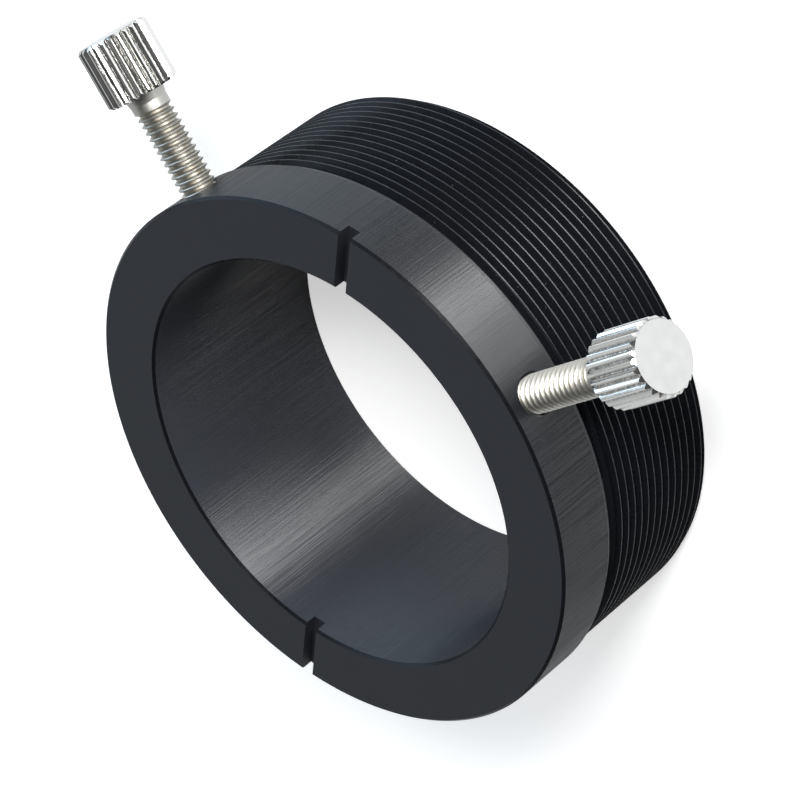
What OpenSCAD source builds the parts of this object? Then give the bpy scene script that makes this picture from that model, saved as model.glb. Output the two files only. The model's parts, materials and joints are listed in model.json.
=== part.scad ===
// Eyepiece adapter: a flanged ring with a male thread, a plain bore and two thumbscrews.
// Z is the bore's axis, and zero is the face of the threaded end, which the ring stands on.

/* [Bore] */
// Diameter of the bore that takes the eyepiece barrel
bore_d = 51; // [20:0.1:90]
// Chamfer round the bore in the flange's face
bore_mouth_chamfer = 0.3; // [0.1:0.05:0.8]
// Chamfer round the bore in the threaded end
bore_end_chamfer = 0.2; // [0.1:0.05:0.8]

/* [Male thread] */
// Wall from the bore out to the thread's crests
thread_wall = 7.1; // [5:0.1:12]
// Distance from one crest to the next
thread_pitch = 1.2; // [0.5:0.05:1.6]
// Length from the end face to the top of the first crest
thread_length = 16.95; // [6:0.05:30]
// Chamfer where the thread starts at the end face
thread_start_chamfer = 0.8; // [0.3:0.05:1.5]
// Length of the relief between the thread and the flange
relief_length = 1.35; // [1:0.05:4]
// Depth of the relief below the crests
relief_depth = 0.55; // [0.2:0.05:0.9]

/* [Flange] */
// Length of the flange along the bore
flange_length = 8.5; // [7.5:0.1:14]
// Step on the radius from the crests out to the flange's rim
flange_step = 0.55; // [0.2:0.05:3]
// Chamfer round the flange's face
flange_face_chamfer = 0.3; // [0.1:0.05:1]
// Length of the bevel behind the flange
flange_bevel_length = 0.8; // [0.2:0.05:1.6]
// Drop of that bevel on the radius
flange_bevel_drop = 0.45; // [0.1:0.05:1]

/* [Spanner slot] */
// Width of the slot that crosses the flange's face
slot_width = 1.6; // [1:0.1:4]
// Depth of the slot
slot_depth = 1.65; // [0.5:0.05:3]

/* [Screw holes] */
// Distance from the flange's face to the axis of the holes
hole_from_face = 4.1; // [3.5:0.05:4.8]
// Clearance on the radius between a hole and its thumbscrew
hole_clearance = 0.04; // [0.01:0.01:0.1]
// Chamfer round the mouth of each hole
hole_mouth_chamfer = 0.3; // [0.1:0.05:0.6]

/* [Thumbscrews] */
// Diameter over the shank's thread
shank_d = 4.3; // [3:0.1:5]
// Distance from one crest of the shank's thread to the next
shank_pitch = 0.79; // [0.4:0.01:1]
// Length of the shank from its tip to the head
shank_length = 18; // [14:0.5:26]
// Chamfer round the tip
tip_chamfer = 0.4; // [0.1:0.05:1]
// Length of the tapered neck under the head
neck_length = 1; // [0.4:0.1:3]
// Step on the radius from the crests out to the neck's wide end
neck_step = 0.2; // [0.05:0.05:0.6]
// Diameter over the knurled head
head_d = 8.4; // [7.4:0.1:12]
// Length of the head
head_length = 7.3; // [4:0.1:12]
// Chamfer round the head's outer end
head_end_chamfer = 0.4; // [0.1:0.05:1.5]
// Chamfer round the head's inner end
head_rim_chamfer = 0.3; // [0.1:0.05:1]
// Number of flutes round the head
flute_count = 26; // [16:1:29]
// Depth of each flute
flute_depth = 0.42; // [0.2:0.02:0.48]
// Distance that the front screw's tip is backed off from the bore
front_back_off = 2.5; // [0.5:0.1:6]
// Distance that the side screw's tip is backed off from the bore
side_back_off = 1.7; // [0.5:0.1:6]

/* [Hidden] */
// Angles round the bore: the slot lies midway between the two screws
front_angle = -90;
side_angle = 0;
slot_angle = (front_angle + side_angle) / 2;

// Form of both threads: a V of sixty degrees with its flats as shares of the pitch
thread_half_angle = 30;
thread_depth_share = 0.6134;
crest_flat_share = 0.125;

// Half of the angle between the two walls of a flute
flute_half_angle = 45;

// Length that every cut runs on past the surface it leaves
overrun = 1;

bore_r = bore_d / 2;
thread_r = bore_r + thread_wall;
relief_r = thread_r - relief_depth;
flange_r = thread_r + flange_step;
shoulder_z = thread_length + relief_length;
ring_height = shoulder_z + flange_length;

shank_r = shank_d / 2;
hole_r = shank_r + hole_clearance;
hole_z = ring_height - hole_from_face;
neck_r = shank_r + neck_step;
head_r = head_d / 2;
screw_length = shank_length + head_length;
shank_thread_end = shank_length - neck_length;

$fn = 144;

// One groove of a thread in half section: the crest above it has its top edge at crest_top
module thread_groove(crest_r, pitch, crest_top) {
    depth = thread_depth_share * pitch;
    flank = depth * tan(thread_half_angle);
    top = crest_top - crest_flat_share * pitch;
    bottom = crest_top - pitch;
    polygon([
        [crest_r - depth, bottom + flank],
        [crest_r, bottom],
        [crest_r + overrun, bottom],
        [crest_r + overrun, top],
        [crest_r, top],
        [crest_r - depth, top - flank]
    ]);
}

// The ring's half section before its thread is cut, anticlockwise from the bore
module ring_section() {
    polygon([
        [bore_r + bore_end_chamfer, 0],
        [thread_r - thread_start_chamfer, 0],
        [thread_r, thread_start_chamfer],
        [thread_r, thread_length],
        [relief_r, thread_length + relief_depth],
        [relief_r, shoulder_z],
        [flange_r - flange_bevel_drop, shoulder_z],
        [flange_r, shoulder_z + flange_bevel_length],
        [flange_r, ring_height - flange_face_chamfer],
        [flange_r - flange_face_chamfer, ring_height],
        [bore_r + bore_mouth_chamfer, ring_height],
        [bore_r, ring_height - bore_mouth_chamfer],
        [bore_r, bore_end_chamfer]
    ]);
}

// The slot runs across the whole face, so it shows as two notches in the ring
module spanner_slot() {
    rotate([0, 0, slot_angle])
        translate([-flange_r - overrun, -slot_width / 2, ring_height - slot_depth])
            cube([2 * (flange_r + overrun), slot_width, slot_depth + overrun]);
}

// A radial hole through the flange's wall, chamfered at its mouth
module screw_hole(angle) {
    rotate([0, 0, angle]) translate([0, 0, hole_z]) rotate([0, 90, 0]) {
        translate([0, 0, bore_r - overrun])
            cylinder(r = hole_r, h = flange_r - bore_r + 2 * overrun);
        translate([0, 0, flange_r - hole_mouth_chamfer])
            cylinder(r1 = hole_r, r2 = hole_r + hole_mouth_chamfer + overrun,
                     h = hole_mouth_chamfer + overrun);
    }
}

// The ring, turned in one piece, slotted and drilled
module adapter_body() {
    groove_count = floor(thread_length / thread_pitch);
    color([0.12, 0.12, 0.13])
    difference() {
        rotate_extrude() difference() {
            ring_section();
            for (k = [0 : groove_count - 1])
                thread_groove(thread_r, thread_pitch, thread_length - k * thread_pitch);
        }
        spanner_slot();
        screw_hole(front_angle);
        screw_hole(side_angle);
    }
}

// The shank in half section, with its tip at zero
module shank_section() {
    groove_count = floor(shank_thread_end / shank_pitch);
    difference() {
        polygon([
            [0, 0],
            [shank_r - tip_chamfer, 0],
            [shank_r, tip_chamfer],
            [shank_r, shank_thread_end],
            [neck_r, shank_length],
            [neck_r, shank_length + overrun],
            [0, shank_length + overrun]
        ]);
        for (k = [0 : groove_count - 1])
            thread_groove(shank_r, shank_pitch, shank_thread_end - k * shank_pitch);
    }
}

// Half section of a cone pair that chamfers both ends of the head
module head_envelope_section() {
    polygon([
        [0, shank_length],
        [head_r - head_rim_chamfer, shank_length],
        [head_r + overrun, shank_length + head_rim_chamfer + overrun],
        [head_r + overrun, screw_length - head_end_chamfer - overrun],
        [head_r - head_end_chamfer, screw_length],
        [0, screw_length]
    ]);
}

// One flute of the knurl across the head, a V open outwards along X
module flute_section() {
    spread = (flute_depth + overrun) * tan(flute_half_angle);
    polygon([
        [head_r - flute_depth, 0],
        [head_r + overrun, -spread],
        [head_r + overrun, spread]
    ]);
}

// A knurled thumbscrew on the Z axis, turned from one bar, with its tip at zero
module thumbscrew() {
    rotate_extrude() shank_section();
    intersection() {
        rotate_extrude() head_envelope_section();
        translate([0, 0, shank_length]) linear_extrude(height = head_length) difference() {
            circle(r = head_r);
            for (k = [0 : flute_count - 1])
                rotate([0, 0, k * 360 / flute_count]) flute_section();
        }
    }
}

// Puts a thumbscrew in its hole, its tip backed off from the bore
module placed_thumbscrew(angle, back_off) {
    rotate([0, 0, angle]) translate([bore_r + back_off, 0, hole_z]) rotate([0, 90, 0])
        thumbscrew();
}

module thumbscrew_front() {
    color([0.80, 0.79, 0.76]) placed_thumbscrew(front_angle, front_back_off);
}

module thumbscrew_side() {
    color([0.80, 0.79, 0.76]) placed_thumbscrew(side_angle, side_back_off);
}

adapter_body();
thumbscrew_front();
thumbscrew_side();
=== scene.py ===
# %% [markdown]
# # A black eyepiece adapter with two thumbscrews
#
# An eyepiece adapter is a short ring turned on a lathe from a bar of aluminium and anodised black.
# An eyepiece slides into its plain bore, two knurled thumbscrews hold it there, and the male thread
# screws the ring into a telescope. This lesson makes the ring the way the machinist does: a blank
# is turned, the thread is cut along a helix, and the slot and the holes are cut last.

import json
import math

import bmesh
import bpy
from mathutils import Matrix, Vector


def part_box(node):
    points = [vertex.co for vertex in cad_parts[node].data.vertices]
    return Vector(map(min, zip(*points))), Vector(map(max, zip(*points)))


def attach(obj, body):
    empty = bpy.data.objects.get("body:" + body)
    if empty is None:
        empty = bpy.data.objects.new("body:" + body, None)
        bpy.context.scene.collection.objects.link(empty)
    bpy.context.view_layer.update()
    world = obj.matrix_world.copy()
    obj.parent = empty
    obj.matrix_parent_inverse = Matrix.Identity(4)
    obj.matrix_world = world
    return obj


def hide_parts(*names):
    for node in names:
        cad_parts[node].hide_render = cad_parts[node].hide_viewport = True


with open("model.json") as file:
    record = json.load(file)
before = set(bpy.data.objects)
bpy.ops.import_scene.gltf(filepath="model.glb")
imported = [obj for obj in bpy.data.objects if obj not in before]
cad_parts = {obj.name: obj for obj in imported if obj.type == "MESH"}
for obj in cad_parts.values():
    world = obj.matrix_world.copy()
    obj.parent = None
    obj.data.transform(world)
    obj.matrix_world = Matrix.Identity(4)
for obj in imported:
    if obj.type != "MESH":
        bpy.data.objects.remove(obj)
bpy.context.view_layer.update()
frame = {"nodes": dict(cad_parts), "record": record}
MM = 0.001

# %% [markdown]
# The frame already knows the large sizes, so they are read from it and not typed again. The two
# round mounts give the bore and the crests of the thread, and the nodes' boxes give the rest.

# %% Read the sizes of the ring
mounts = {mount["name"]: mount for mount in frame["record"]["mounts"]}
ring_low, ring_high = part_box("adapter_body")
bore_r = mounts["eyepiece_bore"]["dims"]["r_mm"] * MM
crest_r = mounts["focuser_thread"]["dims"]["r_mm"] * MM
flange_r = ring_high.x
ring_top = ring_high.z
print(f"bore {bore_r / MM:.2f}, crests {crest_r / MM:.2f}, flange {flange_r / MM:.2f} mm on the radius")
print(f"the ring is {(ring_top - ring_low.z) / MM:.2f} mm tall")

# %% [markdown]
# ## From a profile to a solid
#
# Everything here is round about some axis, so every solid starts as one closed outline in the XZ
# plane. Spinning the outline through a full turn gives a turned solid. A cylinder with scaled loops
# could be pushed to the same shape, but an outline reads like the machinist's drawing.

# %% Outline, link and spin
RING_STEPS = 360
SCREW_STEPS = 64
SAME_POINT = 0.001 * MM


def outline_mesh(points):
    bm = bmesh.new()
    corners = [bm.verts.new((radius, 0, height)) for radius, height in points]
    for here, after in zip(corners, corners[1:] + corners[:1]):
        bm.edges.new((here, after))
    return bm


def link_piece(name, bm):
    mesh = bpy.data.meshes.new(name)
    bm.to_mesh(mesh)
    bm.free()
    piece = bpy.data.objects.new(name, mesh)
    bpy.context.collection.objects.link(piece)
    return piece


def turned(name, points, steps):
    bm = outline_mesh(points)
    bmesh.ops.spin(
        bm, geom=bm.verts[:] + bm.edges[:], cent=(0, 0, 0), axis=(0, 0, 1),
        angle=2 * math.pi, steps=steps, use_merge=True,
    )
    bmesh.ops.remove_doubles(bm, verts=bm.verts, dist=SAME_POINT)
    bmesh.ops.recalc_face_normals(bm, faces=bm.faces)
    return link_piece(name, bm)


print("one turn is", RING_STEPS, "steps on the ring and", SCREW_STEPS, "on a thumbscrew")

# %% [markdown]
# ## A thread is a cut along a helix
#
# A lathe tool cuts a V groove while the work turns, so the groove is swept here the same way: the
# tool's outline goes round the axis and moves along it by one pitch a turn. The Screw modifier does
# that quickly, and a Boolean then takes the swept tool out of the turned blank. Stacked rings would
# be lighter, but they have no run-out, and the run-out at each end is what makes a thread look cut.

# %% Bake modifiers, sweep a tool and cut
def bake(piece):
    shown = piece.evaluated_get(bpy.context.evaluated_depsgraph_get())
    mesh = bpy.data.meshes.new_from_object(shown)
    piece.modifiers.clear()
    piece.data = mesh


def swept_tool(name, points, start_angle, pitch, turns, steps):
    bm = outline_mesh(points)
    turn = Matrix.Rotation(start_angle, 3, "Z")
    bmesh.ops.rotate(bm, verts=bm.verts, cent=(0, 0, 0), matrix=turn)
    tool = link_piece(name, bm)
    sweep = tool.modifiers.new("sweep", "SCREW")
    sweep.axis = "Z"
    sweep.angle = 2 * math.pi
    sweep.screw_offset = -pitch
    sweep.iterations = turns
    sweep.steps = steps
    sweep.render_steps = steps
    bake(tool)
    bm = bmesh.new()
    bm.from_mesh(tool.data)
    open_ends = [edge for edge in bm.edges if edge.is_boundary]
    bmesh.ops.holes_fill(bm, edges=open_ends, sides=len(points))
    bmesh.ops.recalc_face_normals(bm, faces=bm.faces)
    bm.to_mesh(tool.data)
    bm.free()
    return tool


def boolean(piece, tool, operation):
    cut = piece.modifiers.new(tool.name, "BOOLEAN")
    cut.operation = operation
    cut.solver = "EXACT"
    cut.object = tool
    bake(piece)
    bpy.data.objects.remove(tool)


# %% [markdown]
# A metric thread is a V of sixty degrees with a small flat left on each crest. So the tool is that
# V, with a mouth that reaches past the blank: a cut that ends just on the surface leaves slivers.
# On a small plated screw the crests are rounded, so the tool's mouth may flare out to round them.

# %% Outline of a thread tool
THREAD_HALF_ANGLE = math.radians(30)
THREAD_DEPTH_SHARE = 0.6134
CREST_FLAT_SHARE = 0.125
OVERRUN = 1 * MM


def thread_tool_outline(radius, pitch, height, rounding=0):
    """Half of the V from root to mouth, then the same half mirrored across the tool."""
    depth = THREAD_DEPTH_SHARE * pitch - rounding
    mouth = (1 - CREST_FLAT_SHARE) * pitch / 2
    flank = math.tan(THREAD_HALF_ANGLE)
    half = [(radius - depth, mouth - depth * flank)]
    if rounding:
        half.append((radius - rounding, mouth - rounding * flank))
        mouth += rounding / 2
    half.append((radius, mouth))
    half.append((radius + OVERRUN, mouth))
    lower = [(r, height - z) for r, z in half]
    upper = [(r, height + z) for r, z in reversed(half)]
    return lower + upper


print("a groove is as deep as", THREAD_DEPTH_SHARE, "of its pitch")

# %% [markdown]
# ## The ring
#
# The blank has a flange with a chamfer in front and a bevel behind, a relief between the flange and
# the thread, and chamfers at both ends of the bore. The thread runs out in the relief.

# %% Turn the blank of the ring
face_chamfer = 0.3 * MM
bore_end_chamfer = 0.2 * MM
start_chamfer = 0.8 * MM
thread_top = 16.95 * MM
relief_depth = 0.55 * MM
shoulder = 18.3 * MM
bevel_length = 0.8 * MM
bevel_drop = 0.45 * MM
relief_r = crest_r - relief_depth

ring = turned("slotted_ring", [
    (bore_r + bore_end_chamfer, 0),
    (crest_r - start_chamfer, 0),
    (crest_r, start_chamfer),
    (crest_r, thread_top),
    (relief_r, thread_top + relief_depth),
    (relief_r, shoulder),
    (flange_r - bevel_drop, shoulder),
    (flange_r, shoulder + bevel_length),
    (flange_r, ring_top - face_chamfer),
    (flange_r - face_chamfer, ring_top),
    (bore_r + face_chamfer, ring_top),
    (bore_r, ring_top - face_chamfer),
    (bore_r, bore_end_chamfer),
], RING_STEPS)
print("blank:", len(ring.data.polygons), "faces")

# %% [markdown]
# The groove starts at a set angle round the ring, so that each crest comes where it does on the
# real one. At the crest's angle the first groove lies half a pitch below the thread's top. The tool
# starts earlier on the helix and so a little higher, and it runs on past the far end of the blank.

# %% Cut the thread
thread_pitch = 1.2 * MM
crest_angle = math.radians(277)
tool_start = math.radians(-113)
first_groove = thread_top - thread_pitch / 2
tool_height = first_groove + thread_pitch * (crest_angle - tool_start) / (2 * math.pi)
tool_turns = math.ceil((tool_height + thread_pitch) / thread_pitch)
thread_tool = swept_tool(
    "thread_tool", thread_tool_outline(crest_r, thread_pitch, tool_height),
    tool_start, thread_pitch, tool_turns, RING_STEPS,
)
boolean(ring, thread_tool, "DIFFERENCE")
print("thread:", tool_turns, "turns of the tool,", len(ring.data.polygons), "faces")

# %% [markdown]
# The slot across the face takes a flat spanner. One long bar cuts both notches at once, which is
# also how the slot is milled. The two screw holes are drilled through the flange's wall.

# %% Mill the slot and drill the holes
slot_width = 1.6 * MM
slot_depth = 1.65 * MM
slot_angle = math.radians(-45)
hole_r = 2.19 * MM
hole_chamfer = 0.3 * MM
hole_height = 22.7 * MM
screw_angles = {"front": math.radians(-90), "side": 0.0}

bm = bmesh.new()
bmesh.ops.create_cube(bm, size=1)
bmesh.ops.scale(bm, verts=bm.verts, vec=(2 * (flange_r + OVERRUN), slot_width, 2 * slot_depth))
bmesh.ops.rotate(bm, verts=bm.verts, matrix=Matrix.Rotation(slot_angle, 3, "Z"))
bmesh.ops.translate(bm, verts=bm.verts, vec=(0, 0, ring_top))
boolean(ring, link_piece("slot_cutter", bm), "DIFFERENCE")


def lay_on(piece, angle, start):
    """Turns a piece made on the Z axis to lie outwards along one screw's axis."""
    place = Matrix.Rotation(angle, 4, "Z") @ Matrix.Translation((start, 0, hole_height))
    piece.data.transform(place @ Matrix.Rotation(math.radians(90), 4, "Y"))


for side, angle in screw_angles.items():
    drill = turned(f"{side}_drill", [
        (0, bore_r - OVERRUN),
        (hole_r, bore_r - OVERRUN),
        (hole_r, flange_r - hole_chamfer),
        (hole_r + hole_chamfer + OVERRUN, flange_r + OVERRUN),
        (0, flange_r + OVERRUN),
    ], SCREW_STEPS)
    lay_on(drill, angle, 0)
    boolean(ring, drill, "DIFFERENCE")
print("ring, slotted and drilled:", len(ring.data.polygons), "faces")

# %% [markdown]
# ## The thumbscrews
#
# Each is one bright bar: a threaded shank, a short tapered neck, and a head with straight knurling.
# The knurl is flutes with walls at right angles, cut by V bars set round the head. The chamfers at
# the head's ends come first, so each flute opens out through them as it does on the real screw.

# %% Cutter for the knurl
shank_length = 18 * MM
head_r = 4.2 * MM
head_length = 7.3 * MM
flute_count = 26
flute_depth = 0.42 * MM
# Steps down one wall of a flute: how far down it is and how far out, as shares of the depth
FLUTE_WALL = ((1.0, 0.02), (0.95, 0.12), (0.70, 0.32), (0.35, 0.66), (0.10, 0.95), (0.0, 1.12))


def knurl_cutter():
    bm = bmesh.new()
    wall = [(head_r - down * flute_depth, out * flute_depth) for down, out in FLUTE_WALL]
    wall.append((head_r + OVERRUN, wall[-1][1]))
    corners = [(x, -y, 0) for x, y in wall] + [(x, y, 0) for x, y in reversed(wall)]
    blade = bm.faces.new([bm.verts.new(corner) for corner in corners])
    bmesh.ops.translate(bm, verts=bm.verts, vec=(0, 0, shank_length - OVERRUN))
    made = bmesh.ops.extrude_face_region(bm, geom=[blade])["geom"]
    lifted = [part for part in made if isinstance(part, bmesh.types.BMVert)]
    bmesh.ops.translate(bm, verts=lifted, vec=(0, 0, head_length + 2 * OVERRUN))
    bmesh.ops.recalc_face_normals(bm, faces=bm.faces)
    bmesh.ops.spin(
        bm, geom=bm.verts[:] + bm.edges[:] + bm.faces[:], cent=(0, 0, 0), axis=(0, 0, 1),
        angle=2 * math.pi * (flute_count - 1) / flute_count, steps=flute_count - 1,
        use_duplicate=True,
    )
    return link_piece("knurl_cutter", bm)


print("the knurl has", flute_count, "flutes")

# %% [markdown]
# The blank of a thumbscrew is turned in one go, from the tip at zero to the head's far end. Its
# thread is swept like the ring's, and it starts a pitch below the neck, so the neck stays plain.

# %% Make one thumbscrew on the Z axis
shank_r = 2.15 * MM
shank_pitch = 0.79 * MM
tip_chamfer = 0.4 * MM
neck_length = 1 * MM
neck_r = 2.35 * MM
head_end_chamfer = 0.4 * MM
head_rim_chamfer = 0.3 * MM
crest_rounding = 0.07 * MM


def thumbscrew(name):
    tip_to_end = shank_length + head_length
    screw = turned(name, [
        (0, 0),
        (shank_r - tip_chamfer, 0),
        (shank_r, tip_chamfer),
        (shank_r, shank_length - neck_length),
        (neck_r, shank_length),
        (head_r - head_rim_chamfer, shank_length),
        (head_r, shank_length + head_rim_chamfer),
        (head_r, tip_to_end - head_end_chamfer),
        (head_r - head_end_chamfer, tip_to_end),
        (0, tip_to_end),
    ], SCREW_STEPS)
    tool_height = shank_length - neck_length - shank_pitch
    tool = swept_tool(
        f"{name}_tool", thread_tool_outline(shank_r, shank_pitch, tool_height, crest_rounding),
        0, shank_pitch, math.ceil(tool_height / shank_pitch) + 1, SCREW_STEPS,
    )
    boolean(screw, tool, "DIFFERENCE")
    boolean(screw, knurl_cutter(), "DIFFERENCE")
    print(name, "has", len(screw.data.polygons), "faces")
    return screw


# %% [markdown]
# A thumbscrew goes in from outside and stops with its tip backed off from the bore. The frame's
# boxes say where each tip is, so both screws are laid on their axes from there. They are built one
# by one and not copied, because each carries its own patterns.

# %% Put both screws in their holes
front_tip = -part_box("thumbscrew_front")[1].y
side_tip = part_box("thumbscrew_side")[0].x
front_screw = thumbscrew("front_thumbscrew")
side_screw = thumbscrew("side_thumbscrew")
lay_on(front_screw, screw_angles["front"], front_tip)
lay_on(side_screw, screw_angles["side"], side_tip)
print(f"tips at {front_tip / MM:.1f} and {side_tip / MM:.1f} mm from the bore's axis")

# %% [markdown]
# ## Smooth shading that follows the lathe
#
# A Boolean leaves long thin faces, and normals averaged over them show as smears on polished metal.
# Every turned face really has a normal that leans in or out from its axis, so each corner gets
# exactly that normal, and the edges between surfaces stay crisp.

# %% Give every turned face its true normals
TURNED_LIMIT = 0.1
FLAT_ACROSS = 0.999
SOFT_EDGE = math.cos(math.radians(35))


def lathe_normals(piece, origin, axis):
    mesh = piece.data
    turned_faces = set()
    cut_faces_at = {}
    for face in mesh.polygons:
        middle = face.center - origin
        spoke = middle - axis * middle.dot(axis)
        around = axis.cross(spoke).normalized()
        is_flat = abs(face.normal.dot(axis)) >= FLAT_ACROSS
        if abs(face.normal.dot(around)) < TURNED_LIMIT and not is_flat:
            turned_faces.add(face.index)
            continue
        for corner in face.vertices:
            cut_faces_at.setdefault(corner, []).append(face)
    normals = []
    for face in mesh.polygons:
        flat = face.normal.copy()
        lean = flat.dot(axis)
        for corner in face.vertices:
            if face.index in turned_faces:
                out = mesh.vertices[corner].co - origin
                out = (out - axis * out.dot(axis)).normalized()
                sign = 1 if flat.dot(out) > 0 else -1
                normals.append(axis * lean + out * (sign * math.sqrt(1 - lean * lean)))
            else:
                near = [f for f in cut_faces_at[corner] if f.normal.dot(flat) > SOFT_EDGE]
                normals.append(sum((f.normal * f.area for f in near), Vector()).normalized())
    mesh.normals_split_custom_set(normals)
    print(piece.name, "has", len(turned_faces), "turned faces")


lathe_normals(ring, Vector((0, 0, 0)), Vector((0, 0, 1)))
lathe_normals(front_screw, Vector((0, 0, hole_height)), Vector((0, -1, 0)))
lathe_normals(side_screw, Vector((0, 0, hole_height)), Vector((1, 0, 0)))

# %% [markdown]
# ## One frame for every tool
#
# Each piece rides on a body of the frame, so it moves when that body's joint does, and it stands in
# for one CAD node.

# %% Tie the pieces to the frame
for piece, body, node, finish in (
    (ring, "ring", "adapter_body", "ring"),
    (front_screw, "front_screw", "thumbscrew_front", "screws"),
    (side_screw, "side_screw", "thumbscrew_side", "screws"),
):
    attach(piece, body)
    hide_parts(node)
    print(piece.name, "rides on", body)

# %% [markdown]
# ## Black anodising, four ways
#
# One bath of dye blackened the whole ring, and what differs is how each surface was cut before it;
# only the bore's lighter black is painted light, for the light that reaches the bore.
# The face was left matt, the bore and the flange's wall were turned and then rubbed along the axis,
# and the thread is cut so deep that little light comes back. So a few helpers build the patterns,
# and four materials use them. Patterns come from Object coordinates: they stay on the piece when it
# moves, which a pattern in world space would not do.

# %% Node helpers
def add(tree, kind, **settings):
    node = tree.nodes.new(kind)
    for setting, value in settings.items():
        setattr(node, setting, value)
    return node


def shader(name, colour, **sockets):
    material = bpy.data.materials.new(name)
    material.use_nodes = True
    surface = material.node_tree.nodes["Principled BSDF"]
    surface.inputs["Base Color"].default_value = (*colour, 1)
    for socket, value in sockets.items():
        surface.inputs[socket.replace("_", " ")].default_value = value
    print("material:", name)
    return material, material.node_tree, surface


def stretched_noise(tree, scale, stretch, detail):
    """Noise on the piece itself, finest along the axes whose stretch is largest."""
    coords = add(tree, "ShaderNodeTexCoord")
    mapping = add(tree, "ShaderNodeMapping")
    mapping.inputs["Scale"].default_value = stretch
    noise = add(tree, "ShaderNodeTexNoise")
    noise.inputs["Scale"].default_value = scale
    noise.inputs["Detail"].default_value = detail
    tree.links.new(coords.outputs["Object"], mapping.inputs["Vector"])
    tree.links.new(mapping.outputs["Vector"], noise.inputs["Vector"])
    return noise.outputs["Fac"]


def spread(tree, value, low, high, start=0.3, end=0.7):
    """Maps a value onto low to high. Noise mostly lies between the default start and end."""
    ranged = add(tree, "ShaderNodeMapRange")
    tree.links.new(value, ranged.inputs["Value"])
    ranged.inputs["From Min"].default_value = start
    ranged.inputs["From Max"].default_value = end
    ranged.inputs["To Min"].default_value = low
    ranged.inputs["To Max"].default_value = high
    return ranged.outputs["Result"]


def combine(tree, operation, first, second):
    maths = add(tree, "ShaderNodeMath", operation=operation)
    tree.links.new(first, maths.inputs[0])
    tree.links.new(second, maths.inputs[1])
    return maths.outputs["Value"]


def tint(tree, surface, value, dark, light):
    mix = add(tree, "ShaderNodeMix", data_type="RGBA")
    tree.links.new(value, mix.inputs["Factor"])
    mix.inputs["A"].default_value = (*dark, 1)
    mix.inputs["B"].default_value = (*light, 1)
    tree.links.new(mix.outputs["Result"], surface.inputs["Base Color"])


def raise_bump(tree, surface, height, distance):
    bump = add(tree, "ShaderNodeBump")
    bump.inputs["Distance"].default_value = distance
    bump.inputs["Strength"].default_value = 1
    tree.links.new(height, bump.inputs["Height"])
    tree.links.new(bump.outputs["Normal"], surface.inputs["Normal"])


# %% [markdown]
# Turning leaves grooves round the part too fine to see, and they smear a highlight across
# themselves, which is along the axis. The shader does that with its anisotropy. Its tangent is the
# cross product of the normal and the direction round the bore, so it follows walls and faces alike.

# %% The tangent of a turned surface
def turned_tangent(tree, surface):
    coords = add(tree, "ShaderNodeTexCoord")
    around = add(tree, "ShaderNodeVectorMath", operation="CROSS_PRODUCT")
    around.inputs[0].default_value = (0, 0, 1)
    tree.links.new(coords.outputs["Object"], around.inputs[1])
    along = add(tree, "ShaderNodeVectorMath", operation="CROSS_PRODUCT")
    geometry = add(tree, "ShaderNodeNewGeometry")
    tree.links.new(geometry.outputs["Normal"], along.inputs[0])
    tree.links.new(around.outputs["Vector"], along.inputs[1])
    unit = add(tree, "ShaderNodeVectorMath", operation="NORMALIZE")
    tree.links.new(along.outputs["Vector"], unit.inputs[0])
    tree.links.new(unit.outputs["Vector"], surface.inputs["Tangent"])


# %% [markdown]
# A rubbed wall carries long streaks along the axis, crossed by faint turning marks. The same two
# noises steer its gloss, and the streaks alone tint it and raise it. The range of gloss is kept
# narrow, because smoother specks mirror the dark room and look like holes.

# %% Black for walls that were turned and rubbed
BLACK = (0.0042, 0.0048, 0.0062)
LIGHTER_BLACK = (0.0065, 0.0078, 0.0105)
# The bore's two blacks are several times lighter than the flange's: painted light, for the light that
# reaches the bore.
BORE_DARK_WITH_PAINTED_LIGHT = (0.020, 0.022, 0.028)
BORE_PALE_WITH_PAINTED_LIGHT = (0.027, 0.030, 0.037)
ALONG_AXIS = (1, 1, 0.012)
AROUND_AXIS = (0.02, 0.02, 1)
RUBBED_GLOSS = {"low": 0.34, "high": 0.52, "start": 0, "end": 1}


def rubbed_black(name, fineness, rub_depth, dark, light):
    material, tree, surface = shader(name, dark, IOR=1.72, Anisotropic=1.0)
    streaks = stretched_noise(tree, scale=fineness, stretch=ALONG_AXIS, detail=2)
    turning = stretched_noise(tree, scale=5000, stretch=AROUND_AXIS, detail=1)
    strong = spread(tree, streaks, low=0, high=0.8, start=0.42, end=0.6)
    faint = spread(tree, turning, low=0, high=0.2)
    marks = combine(tree, "ADD", strong, faint)
    tint(tree, surface, streaks, dark, light)
    tree.links.new(spread(tree, marks, **RUBBED_GLOSS), surface.inputs["Roughness"])
    turned_tangent(tree, surface)
    raise_bump(tree, surface, streaks, rub_depth)
    return material


# The bore gets the lighter blacks, which are painted light.
bore_black_painted_light = rubbed_black(
    "bore_black_painted_light", fineness=6000, rub_depth=0.026 * MM, dark=BORE_DARK_WITH_PAINTED_LIGHT, light=BORE_PALE_WITH_PAINTED_LIGHT,
)
flange_black = rubbed_black(
    "flange_black", fineness=7000, rub_depth=0.016 * MM, dark=BLACK, light=LIGHTER_BLACK,
)

# %% [markdown]
# The face is matt with a fine grain, and hardly varies. The thread is the blackest part: it gets a
# low index of refraction, so that its flanks give almost no highlight, and a few specks of dust.

# %% Black for the face and for the thread
MATT_DARK = (0.0074, 0.0088, 0.0124)
MATT_LIGHT = (0.0096, 0.0113, 0.0156)
DUST = (0.10, 0.10, 0.105)
ALL_WAYS = (1, 1, 1)
GRAIN_HEIGHT = 0.01 * MM


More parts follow.
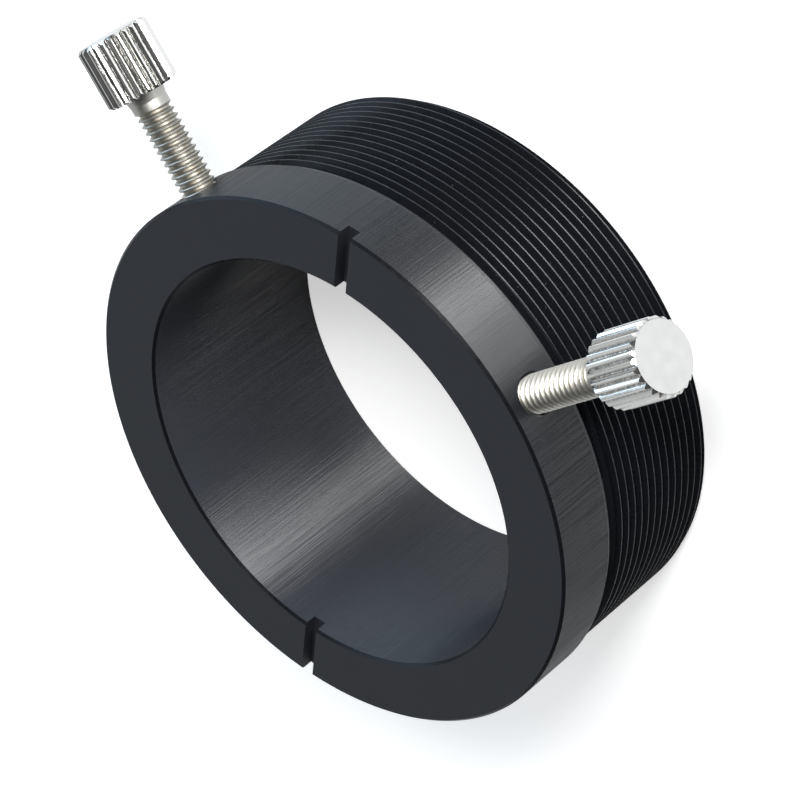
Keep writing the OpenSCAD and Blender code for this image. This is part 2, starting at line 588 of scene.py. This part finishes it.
def matt_black():
    material, tree, surface = shader("matt_black", BLACK, IOR=1.45)
    grain = stretched_noise(tree, scale=5000, stretch=ALL_WAYS, detail=4)
    patches = stretched_noise(tree, scale=160, stretch=ALL_WAYS, detail=2)
    tint(tree, surface, patches, MATT_DARK, MATT_LIGHT)
    tree.links.new(spread(tree, grain, low=0.56, high=0.68), surface.inputs["Roughness"])
    raise_bump(tree, surface, grain, GRAIN_HEIGHT)
    return material


def deep_black():
    material, tree, surface = shader("deep_black", BLACK, IOR=1.24)
    dust = stretched_noise(tree, scale=2600, stretch=ALL_WAYS, detail=2)
    specks = spread(tree, dust, low=0, high=1, start=0.75, end=0.80)
    tint(tree, surface, specks, BLACK, DUST)
    wear = stretched_noise(tree, scale=900, stretch=ALL_WAYS, detail=3)
    tree.links.new(spread(tree, wear, low=0.24, high=0.34), surface.inputs["Roughness"])
    return material


face_black = matt_black()
thread_black = deep_black()

# %% [markdown]
# The ring is one mesh, so each face picks its black by where it is and how far its normal leans
# towards the axis. Only a wall near the bore is rubbed, and so is the flange's wall with its bevel.
# The flat faces and the slot are matt, and everything else gets the thread's black.

# %% Give each surface of the ring its black
FLAT_LEAN = 0.99
WALL_LEAN = 0.2
CREST_MARGIN = 0.03 * MM


def black_for(face):
    radius = math.hypot(face.center.x, face.center.y)
    lean = abs(face.normal.z)
    on_bevel = shoulder < face.center.z < ring_top - bevel_length
    if lean > FLAT_LEAN:
        return face_black
    if radius < bore_r + face_chamfer and lean < WALL_LEAN:
        return bore_black_painted_light
    if radius > crest_r - CREST_MARGIN and (lean < WALL_LEAN or on_bevel):
        return flange_black
    if lean > WALL_LEAN or (radius > crest_r - OVERRUN and face.center.z < shoulder):
        return thread_black
    return face_black


ring.data.materials.clear()
ring_blacks = (face_black, bore_black_painted_light, flange_black, thread_black)
for black in ring_blacks:
    ring.data.materials.append(black)
for face in ring.data.polygons:
    face.material_index = ring_blacks.index(black_for(face))
for index, black in enumerate(ring_blacks):
    count = sum(face.material_index == index for face in ring.data.polygons)
    print(black.name, "is on", count, "faces")

# %% [markdown]
# ## Bright plate
#
# The thumbscrews are plated, so they show mostly what stands round them. Their marks are faint: a
# warm, darker painted shade down in the thread, a grey painted shade in the flutes, and lathe rings
# on the head's end. All three depend on how far a point is from the screw's axis, so that comes first.

# %% Plate with painted shade and clouding that gathers near the axis
ROUGHER_FILM = 0.09


def distance_from_axis(tree, across):
    coords = add(tree, "ShaderNodeTexCoord")
    centred = add(tree, "ShaderNodeVectorMath", operation="SUBTRACT")
    centred.inputs[1].default_value = (0, 0, hole_height)
    flat = add(tree, "ShaderNodeVectorMath", operation="MULTIPLY")
    flat.inputs[1].default_value = across
    length = add(tree, "ShaderNodeVectorMath", operation="LENGTH")
    tree.links.new(coords.outputs["Object"], centred.inputs[0])
    tree.links.new(centred.outputs["Vector"], flat.inputs[0])
    tree.links.new(flat.outputs["Vector"], length.inputs[0])
    return length.outputs["Value"]


def bright_plate(name, across, plate, clouding_and_shade, full_at, none_at, patch_scale, smoothest):
    """Plate whose darker tint is full at one distance from the axis and gone at another. In the thread
    and the flutes the tint is painted shade, on the end it is clouding.
    """
    material, tree, surface = shader(name, plate, Metallic=1.0)
    radius = distance_from_axis(tree, across)
    cloud = stretched_noise(tree, scale=patch_scale, stretch=ALL_WAYS, detail=3)
    patches = spread(tree, cloud, low=0.1, high=1)
    depth = spread(tree, radius, low=1, high=0, start=full_at, end=none_at)
    tint(tree, surface, combine(tree, "MULTIPLY", depth, patches), plate, clouding_and_shade)
    roughest = smoothest + ROUGHER_FILM
    gloss = spread(tree, patches, low=smoothest, high=roughest, start=0, end=1)
    tree.links.new(gloss, surface.inputs["Roughness"])
    return material, tree, surface


# %% [markdown]
# The shank's plate is painted darker than the head's, which is painted shade, and it is rougher. The
# knurl is nearly a mirror with fine lines drawn along it, which break each reflection into stripes.
# The end is clouded by handling, and its rings are noise along one number, the distance from the axis.

# %% Plate for the shank, the knurl and the end
PLATE = (0.84, 0.83, 0.80)
CLOUDED_PLATE = (0.76, 0.75, 0.73)
# Grey painted shade, darkest in the roots of the flutes.
FLUTE_PAINTED_SHADE = (0.20, 0.195, 0.185)
# The shank's plate is darker than the head's: painted shade.
PAINTED_SHADE_SHANK_COLOUR = (0.52, 0.51, 0.475)
# Warm, darker painted shade in the roots of the shank's thread.
THREAD_ROOT_PAINTED_SHADE = (0.34, 0.305, 0.235)
ROOT_DROP = 0.35 * MM
CREST_DROP = 0.05 * MM
# How far up a flute the painted shade reaches, as a share of its depth.
FLUTE_SHADE_SHARE = 0.45
DRAWN_OUT = 0.02
RING_FINENESS = 9000
SHANK_GRAIN = 0.006 * MM
LINE_DEPTH = 0.012 * MM
RING_DEPTH = 0.002 * MM


def plate_shank(name, across):
    # The shank gets the darker plate and the warm painted shade in its thread's roots, both painted
    # shade.
    material, tree, surface = bright_plate(
        name, across, PAINTED_SHADE_SHANK_COLOUR, THREAD_ROOT_PAINTED_SHADE, full_at=shank_r - ROOT_DROP,
        none_at=shank_r - CREST_DROP, patch_scale=1500, smoothest=0.34,
    )
    grain = stretched_noise(tree, scale=3500, stretch=ALL_WAYS, detail=3)
    raise_bump(tree, surface, grain, SHANK_GRAIN)
    return material


def plate_knurl(name, across):
    # The flutes get the grey painted shade in their roots.
    material, tree, surface = bright_plate(
        name, across, PLATE, FLUTE_PAINTED_SHADE, full_at=head_r - flute_depth,
        none_at=head_r - FLUTE_SHADE_SHARE * flute_depth, patch_scale=2500, smoothest=0.08,
    )
    stretch = tuple(max(share, DRAWN_OUT) for share in across)
    lines = stretched_noise(tree, scale=7000, stretch=stretch, detail=3)
    raise_bump(tree, surface, lines, LINE_DEPTH)
    return material


def plate_end(name, across):
    material, tree, surface = bright_plate(
        name, across, PLATE, CLOUDED_PLATE, full_at=head_r,
        none_at=head_r + OVERRUN, patch_scale=600, smoothest=0.16,
    )
    rings = add(tree, "ShaderNodeTexNoise", noise_dimensions="1D")
    rings.inputs["Scale"].default_value = RING_FINENESS
    tree.links.new(distance_from_axis(tree, across), rings.inputs["W"])
    raise_bump(tree, surface, rings.outputs["Fac"], RING_DEPTH)
    return material


# %% [markdown]
# Each screw gets three materials of its own, because its patterns run about its own axis. The CAD
# nodes are covered by the dressed pieces, but they get a black too, so nothing is left bare.

# %% Plate both screws and cover the CAD nodes
FLAT_END = 0.9
HEAD_MARGIN = 0.01 * MM
SHANK_PLATE = 0
KNURL_PLATE = 1
END_PLATE = 2


def plate_screw(screw, across, along):
    screw.data.materials.clear()
    screw.data.materials.append(plate_shank(screw.name + "_shank", across))
    screw.data.materials.append(plate_knurl(screw.name + "_knurl", across))
    screw.data.materials.append(plate_end(screw.name + "_end", across))
    end = max(vertex.co.dot(along) for vertex in screw.data.vertices)
    head_start = end - head_length - HEAD_MARGIN
    for face in screw.data.polygons:
        if face.center.dot(along) <= head_start:
            face.material_index = SHANK_PLATE
        elif face.normal.dot(along) > FLAT_END:
            face.material_index = END_PLATE
        else:
            face.material_index = KNURL_PLATE


plate_screw(front_screw, (1, 0, 1), Vector((0, -1, 0)))
plate_screw(side_screw, (0, 1, 1), Vector((1, 0, 0)))
for node in frame["nodes"].values():
    node.data.materials.clear()
    node.data.materials.append(face_black)
print("covered:", sorted(frame["nodes"]))

# %% [markdown]
# ## A white table
#
# The ring stands on plain paper. A white floor in full light would wash out the black metal by its
# own reflection, so the paper is only pale. A camera ray adds a glow that makes it look white, and
# a mirror ray adds a little, while the ring's shadow stays on it.

# %% Floor
TABLE_REACH = 6
PAPER = (0.72, 0.72, 0.72)
MIRRORED_GLOW = 0.16
SEEN_GLOW = 0.55


def add_table():
    bm = bmesh.new()
    bmesh.ops.create_grid(bm, x_segments=1, y_segments=1, size=TABLE_REACH)
    table = link_piece("table", bm)
    paper, tree, surface = shader("pale_paper", PAPER, Roughness=1.0)
    surface.inputs["Specular IOR Level"].default_value = 0
    surface.inputs["Emission Color"].default_value = (1, 1, 1, 1)
    table.data.materials.append(paper)
    path = add(tree, "ShaderNodeLightPath")
    through = combine(
        tree, "MAXIMUM", path.outputs["Is Glossy Ray"], path.outputs["Is Transmission Ray"],
    )
    mirrored = spread(tree, through, low=0, high=MIRRORED_GLOW, start=0, end=1)
    seen = spread(tree, path.outputs["Is Camera Ray"], low=0, high=SEEN_GLOW, start=0, end=1)
    glow = combine(tree, "MAXIMUM", mirrored, seen)
    tree.links.new(glow, surface.inputs["Emission Strength"])
    print("the table reaches", TABLE_REACH, "m from the ring")


add_table()

# %% [markdown]
# ## A pale sky at the back and three soft lights
#
# A bright band on black metal is always the picture of something, so each light is placed for one
# reflection. The key light is small and gives the shadow. The front light is low and makes the
# bright bands on the flange and in the bore. The side light is broad and cool, and gives the flange
# and the bore their blue sheen. The sky is pale only at the back, where the matt face mirrors it,
# and dark overhead, which keeps the thread's grooves black.

# %% Lamps and sky
SKY_COLOUR = (0.95, 0.98, 1, 1)
COOL = (0.64, 0.82, 1.0)
WHITE = (1, 1, 1)


def direction(azimuth, elevation):
    around = math.radians(azimuth)
    up = math.radians(elevation)
    return Vector((math.cos(around) * math.cos(up), math.sin(around) * math.cos(up), math.sin(up)))


def softbox(name, azimuth, elevation, width, height, radiance, colour):
    """A rectangle one metre from the ring that faces it, seen by everything but the camera."""
    light = bpy.data.lights.new(name, "AREA")
    light.shape = "RECTANGLE"
    light.size = width
    light.size_y = height
    light.energy = radiance * math.pi * width * height
    light.color = colour
    lamp = bpy.data.objects.new(name, light)
    bpy.context.collection.objects.link(lamp)
    way = direction(azimuth, elevation)
    lamp.location = Vector((0, 0, ring_top / 2)) + way
    lamp.rotation_euler = way.to_track_quat("Z", "Y").to_euler()
    lamp.visible_camera = False
    print(f"{name}: {light.energy:.2f} W")


def add_sky():
    world = bpy.data.worlds.new("sky")
    bpy.context.scene.world = world
    world.use_nodes = True
    tree = world.node_tree
    background = tree.nodes["Background"]
    background.inputs["Color"].default_value = SKY_COLOUR
    coords = add(tree, "ShaderNodeTexCoord")
    towards = add(tree, "ShaderNodeVectorMath", operation="DOT_PRODUCT")
    towards.inputs[1].default_value = direction(azimuth=102, elevation=15)
    tree.links.new(coords.outputs["Generated"], towards.inputs[0])
    lit = spread(tree, towards.outputs["Value"], low=0.08, high=0.7, start=0.6, end=0.92)
    path = add(tree, "ShaderNodeLightPath")
    shown = combine(tree, "MAXIMUM", lit, path.outputs["Is Camera Ray"])
    tree.links.new(shown, background.inputs["Strength"])


add_sky()
softbox("key_light", azimuth=301, elevation=36, width=0.25, height=0.25, radiance=50, colour=WHITE)
softbox("front_light", azimuth=288, elevation=12, width=0.66, height=0.353, radiance=13, colour=WHITE)
softbox("side_light", azimuth=18, elevation=26, width=1.25, height=0.62, radiance=2.4, colour=COOL)

# %% [markdown]
# ## The camera
#
# The camera looks down at the flange's face from the front screw's side, with a long lens and well
# over on its side. Its place and its three directions were worked out from the ring's edges and the
# bore's real size, so they are given as they came out and not rounded to neat angles.

# %% Camera
SENSOR_WIDTH = 36
FOCAL_LENGTH = 157.76
NEAREST = 0.01
right = Vector((-0.4881, -0.5955, -0.6380))
down = Vector((-0.8556, 0.1821, 0.4846))
forward = Vector((-0.1724, 0.7824, -0.5984))
camera_place = (68.6564 * MM, -307.6449 * MM, 248.4339 * MM)

camera_data = bpy.data.cameras.new("camera")
camera = bpy.data.objects.new("camera", camera_data)
bpy.context.collection.objects.link(camera)
camera_data.sensor_width = SENSOR_WIDTH
camera_data.lens = FOCAL_LENGTH
camera_data.clip_start = NEAREST
turn = Matrix((right, -down, -forward)).transposed().to_4x4()
camera.matrix_world = Matrix.Translation(camera_place) @ turn
bpy.context.scene.camera = camera
bpy.context.scene.view_settings.view_transform = "Standard"
print(f"the camera is {Vector(camera_place).length:.3f} m from the ring")
